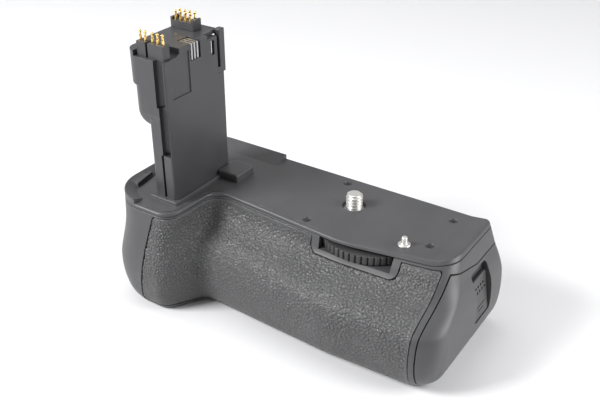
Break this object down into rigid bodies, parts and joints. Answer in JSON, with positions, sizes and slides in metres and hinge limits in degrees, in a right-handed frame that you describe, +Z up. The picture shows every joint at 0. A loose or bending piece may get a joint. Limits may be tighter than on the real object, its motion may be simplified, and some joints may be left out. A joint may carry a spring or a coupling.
{
  "type": "camera battery grip",
  "caption": "Battery grip that screws under a camera, with a post for the battery bay and a sliding two-battery magazine.",
  "frame": {"origin": "mouth of the tripod socket in the foot, on the attachment screw's axis", "axes": "+X towards the magazine's end cap, +Y towards the back, +Z up"},
  "size_m": [0.139, 0.0719, 0.1076],
  "materials": {
    "housing_black": "fine satin texture",
    "grip_rubber": "leather texture",
    "control_plastic": "satin",
    "contact_plastic": "satin",
    "gear_plastic": "smooth",
    "bright_nickel": "bright nickel plating",
    "steel": "turned steel",
    "gold_contact": "gold plating",
    "battery_grey": "fine satin texture",
    "board_green": "solder mask"
  },
  "bodies": {
    "root": {"main_shell": "housing_black", "top_cover": "housing_black", "front_rubber": "grip_rubber", "rear_cover": "housing_black", "thumb_rest": "grip_rubber", "tripod_socket": "bright_nickel", "circuit_board": "board_green", "chamber_contacts": "gold_contact", "post_core": "housing_black", "post_side_plate": "housing_black", "rear_clip": "housing_black", "terminal_strips": "bright_nickel", "front_contact_housings": "contact_plastic", "rear_contact_housing": "contact_plastic", "wheel_spindle": "steel", "guide_pin": "bright_nickel", "dial_spindle": "steel"},
    "lock_wheel": {"lock_wheel": "control_plastic", "wheel_gear": "gear_plastic"},
    "attachment_screw": {"attachment_screw": "bright_nickel", "screw_gear": "steel"},
    "magazine": {"magazine_tray": "contact_plastic", "tray_contacts": "gold_contact", "left_battery": "battery_grey", "right_battery": "battery_grey", "end_cap": "housing_black"},
    "magazine_latch": {"magazine_latch": "control_plastic"},
    "shutter_button": {"shutter_button": "control_plastic"},
    "main_dial": {"main_dial": "control_plastic"},
    "left_thumb_button": {"left_thumb_button": "control_plastic"},
    "middle_thumb_button": {"middle_thumb_button": "control_plastic"},
    "right_thumb_button": {"right_thumb_button": "control_plastic"},
    "power_switch": {"power_switch": "control_plastic"},
    "front_contact_pins": {"front_contact_pins": "gold_contact"},
    "rear_contact_pins": {"rear_contact_pins": "gold_contact"}
  },
  "joints": [
    {"name": "lock_wheel_turn", "type": "hinge", "parent": "root", "child": "lock_wheel", "pos_m": [0.0121, -0.0063, 0.0377], "axis": [0, 0, 1], "continuous": true},
    {"name": "attachment_screw_turn", "type": "hinge", "parent": "root", "child": "attachment_screw", "pos_m": [0, 0, 0.0412], "axis": [0, 0, 1], "continuous": true},
    {"name": "magazine_slide", "type": "slide", "parent": "root", "child": "magazine", "axis": [1, 0, 0], "range_m": [0, 0.125]},
    {"name": "magazine_latch_slide", "type": "slide", "parent": "magazine", "child": "magazine_latch", "axis": [-0.1668, 0, 0.986], "range_m": [0, 0.0034], "stiffness_N_per_m": 200},
    {"name": "shutter_button_press", "type": "slide", "parent": "root", "child": "shutter_button", "axis": [0.977, 0, 0.2132], "range_m": [0, 0.001], "stiffness_N_per_m": 1200},
    {"name": "main_dial_turn", "type": "hinge", "parent": "root", "child": "main_dial", "pos_m": [-0.07697, -0.015, 0.00994], "axis": [0, 1, 0], "continuous": true},
    {"name": "left_thumb_button_press", "type": "slide", "parent": "root", "child": "left_thumb_button", "axis": [0, -1, 0], "range_m": [0, 0.0005], "stiffness_N_per_m": 1500},
    {"name": "middle_thumb_button_press", "type": "slide", "parent": "root", "child": "middle_thumb_button", "axis": [0, -1, 0], "range_m": [0, 0.0005], "stiffness_N_per_m": 1500},
    {"name": "right_thumb_button_press", "type": "slide", "parent": "root", "child": "right_thumb_button", "axis": [0, -1, 0], "range_m": [0, 0.0005], "stiffness_N_per_m": 1500},
    {"name": "power_switch_turn", "type": "hinge", "parent": "root", "child": "power_switch", "pos_m": [-0.024, 0.0179, 0.011], "axis": [0, 1, 0], "range_deg": [0, 40]},
    {"name": "front_contact_pins_press", "type": "slide", "parent": "root", "child": "front_contact_pins", "axis": [0, 0, -1], "range_m": [0, 0.001], "stiffness_N_per_m": 600},
    {"name": "rear_contact_pins_press", "type": "slide", "parent": "root", "child": "rear_contact_pins", "axis": [0, 0, -1], "range_m": [0, 0.001], "stiffness_N_per_m": 600}
  ],
  "couplings": [
    {"joint": "attachment_screw_turn", "follows": "lock_wheel_turn", "ratio": -1}
  ]
}
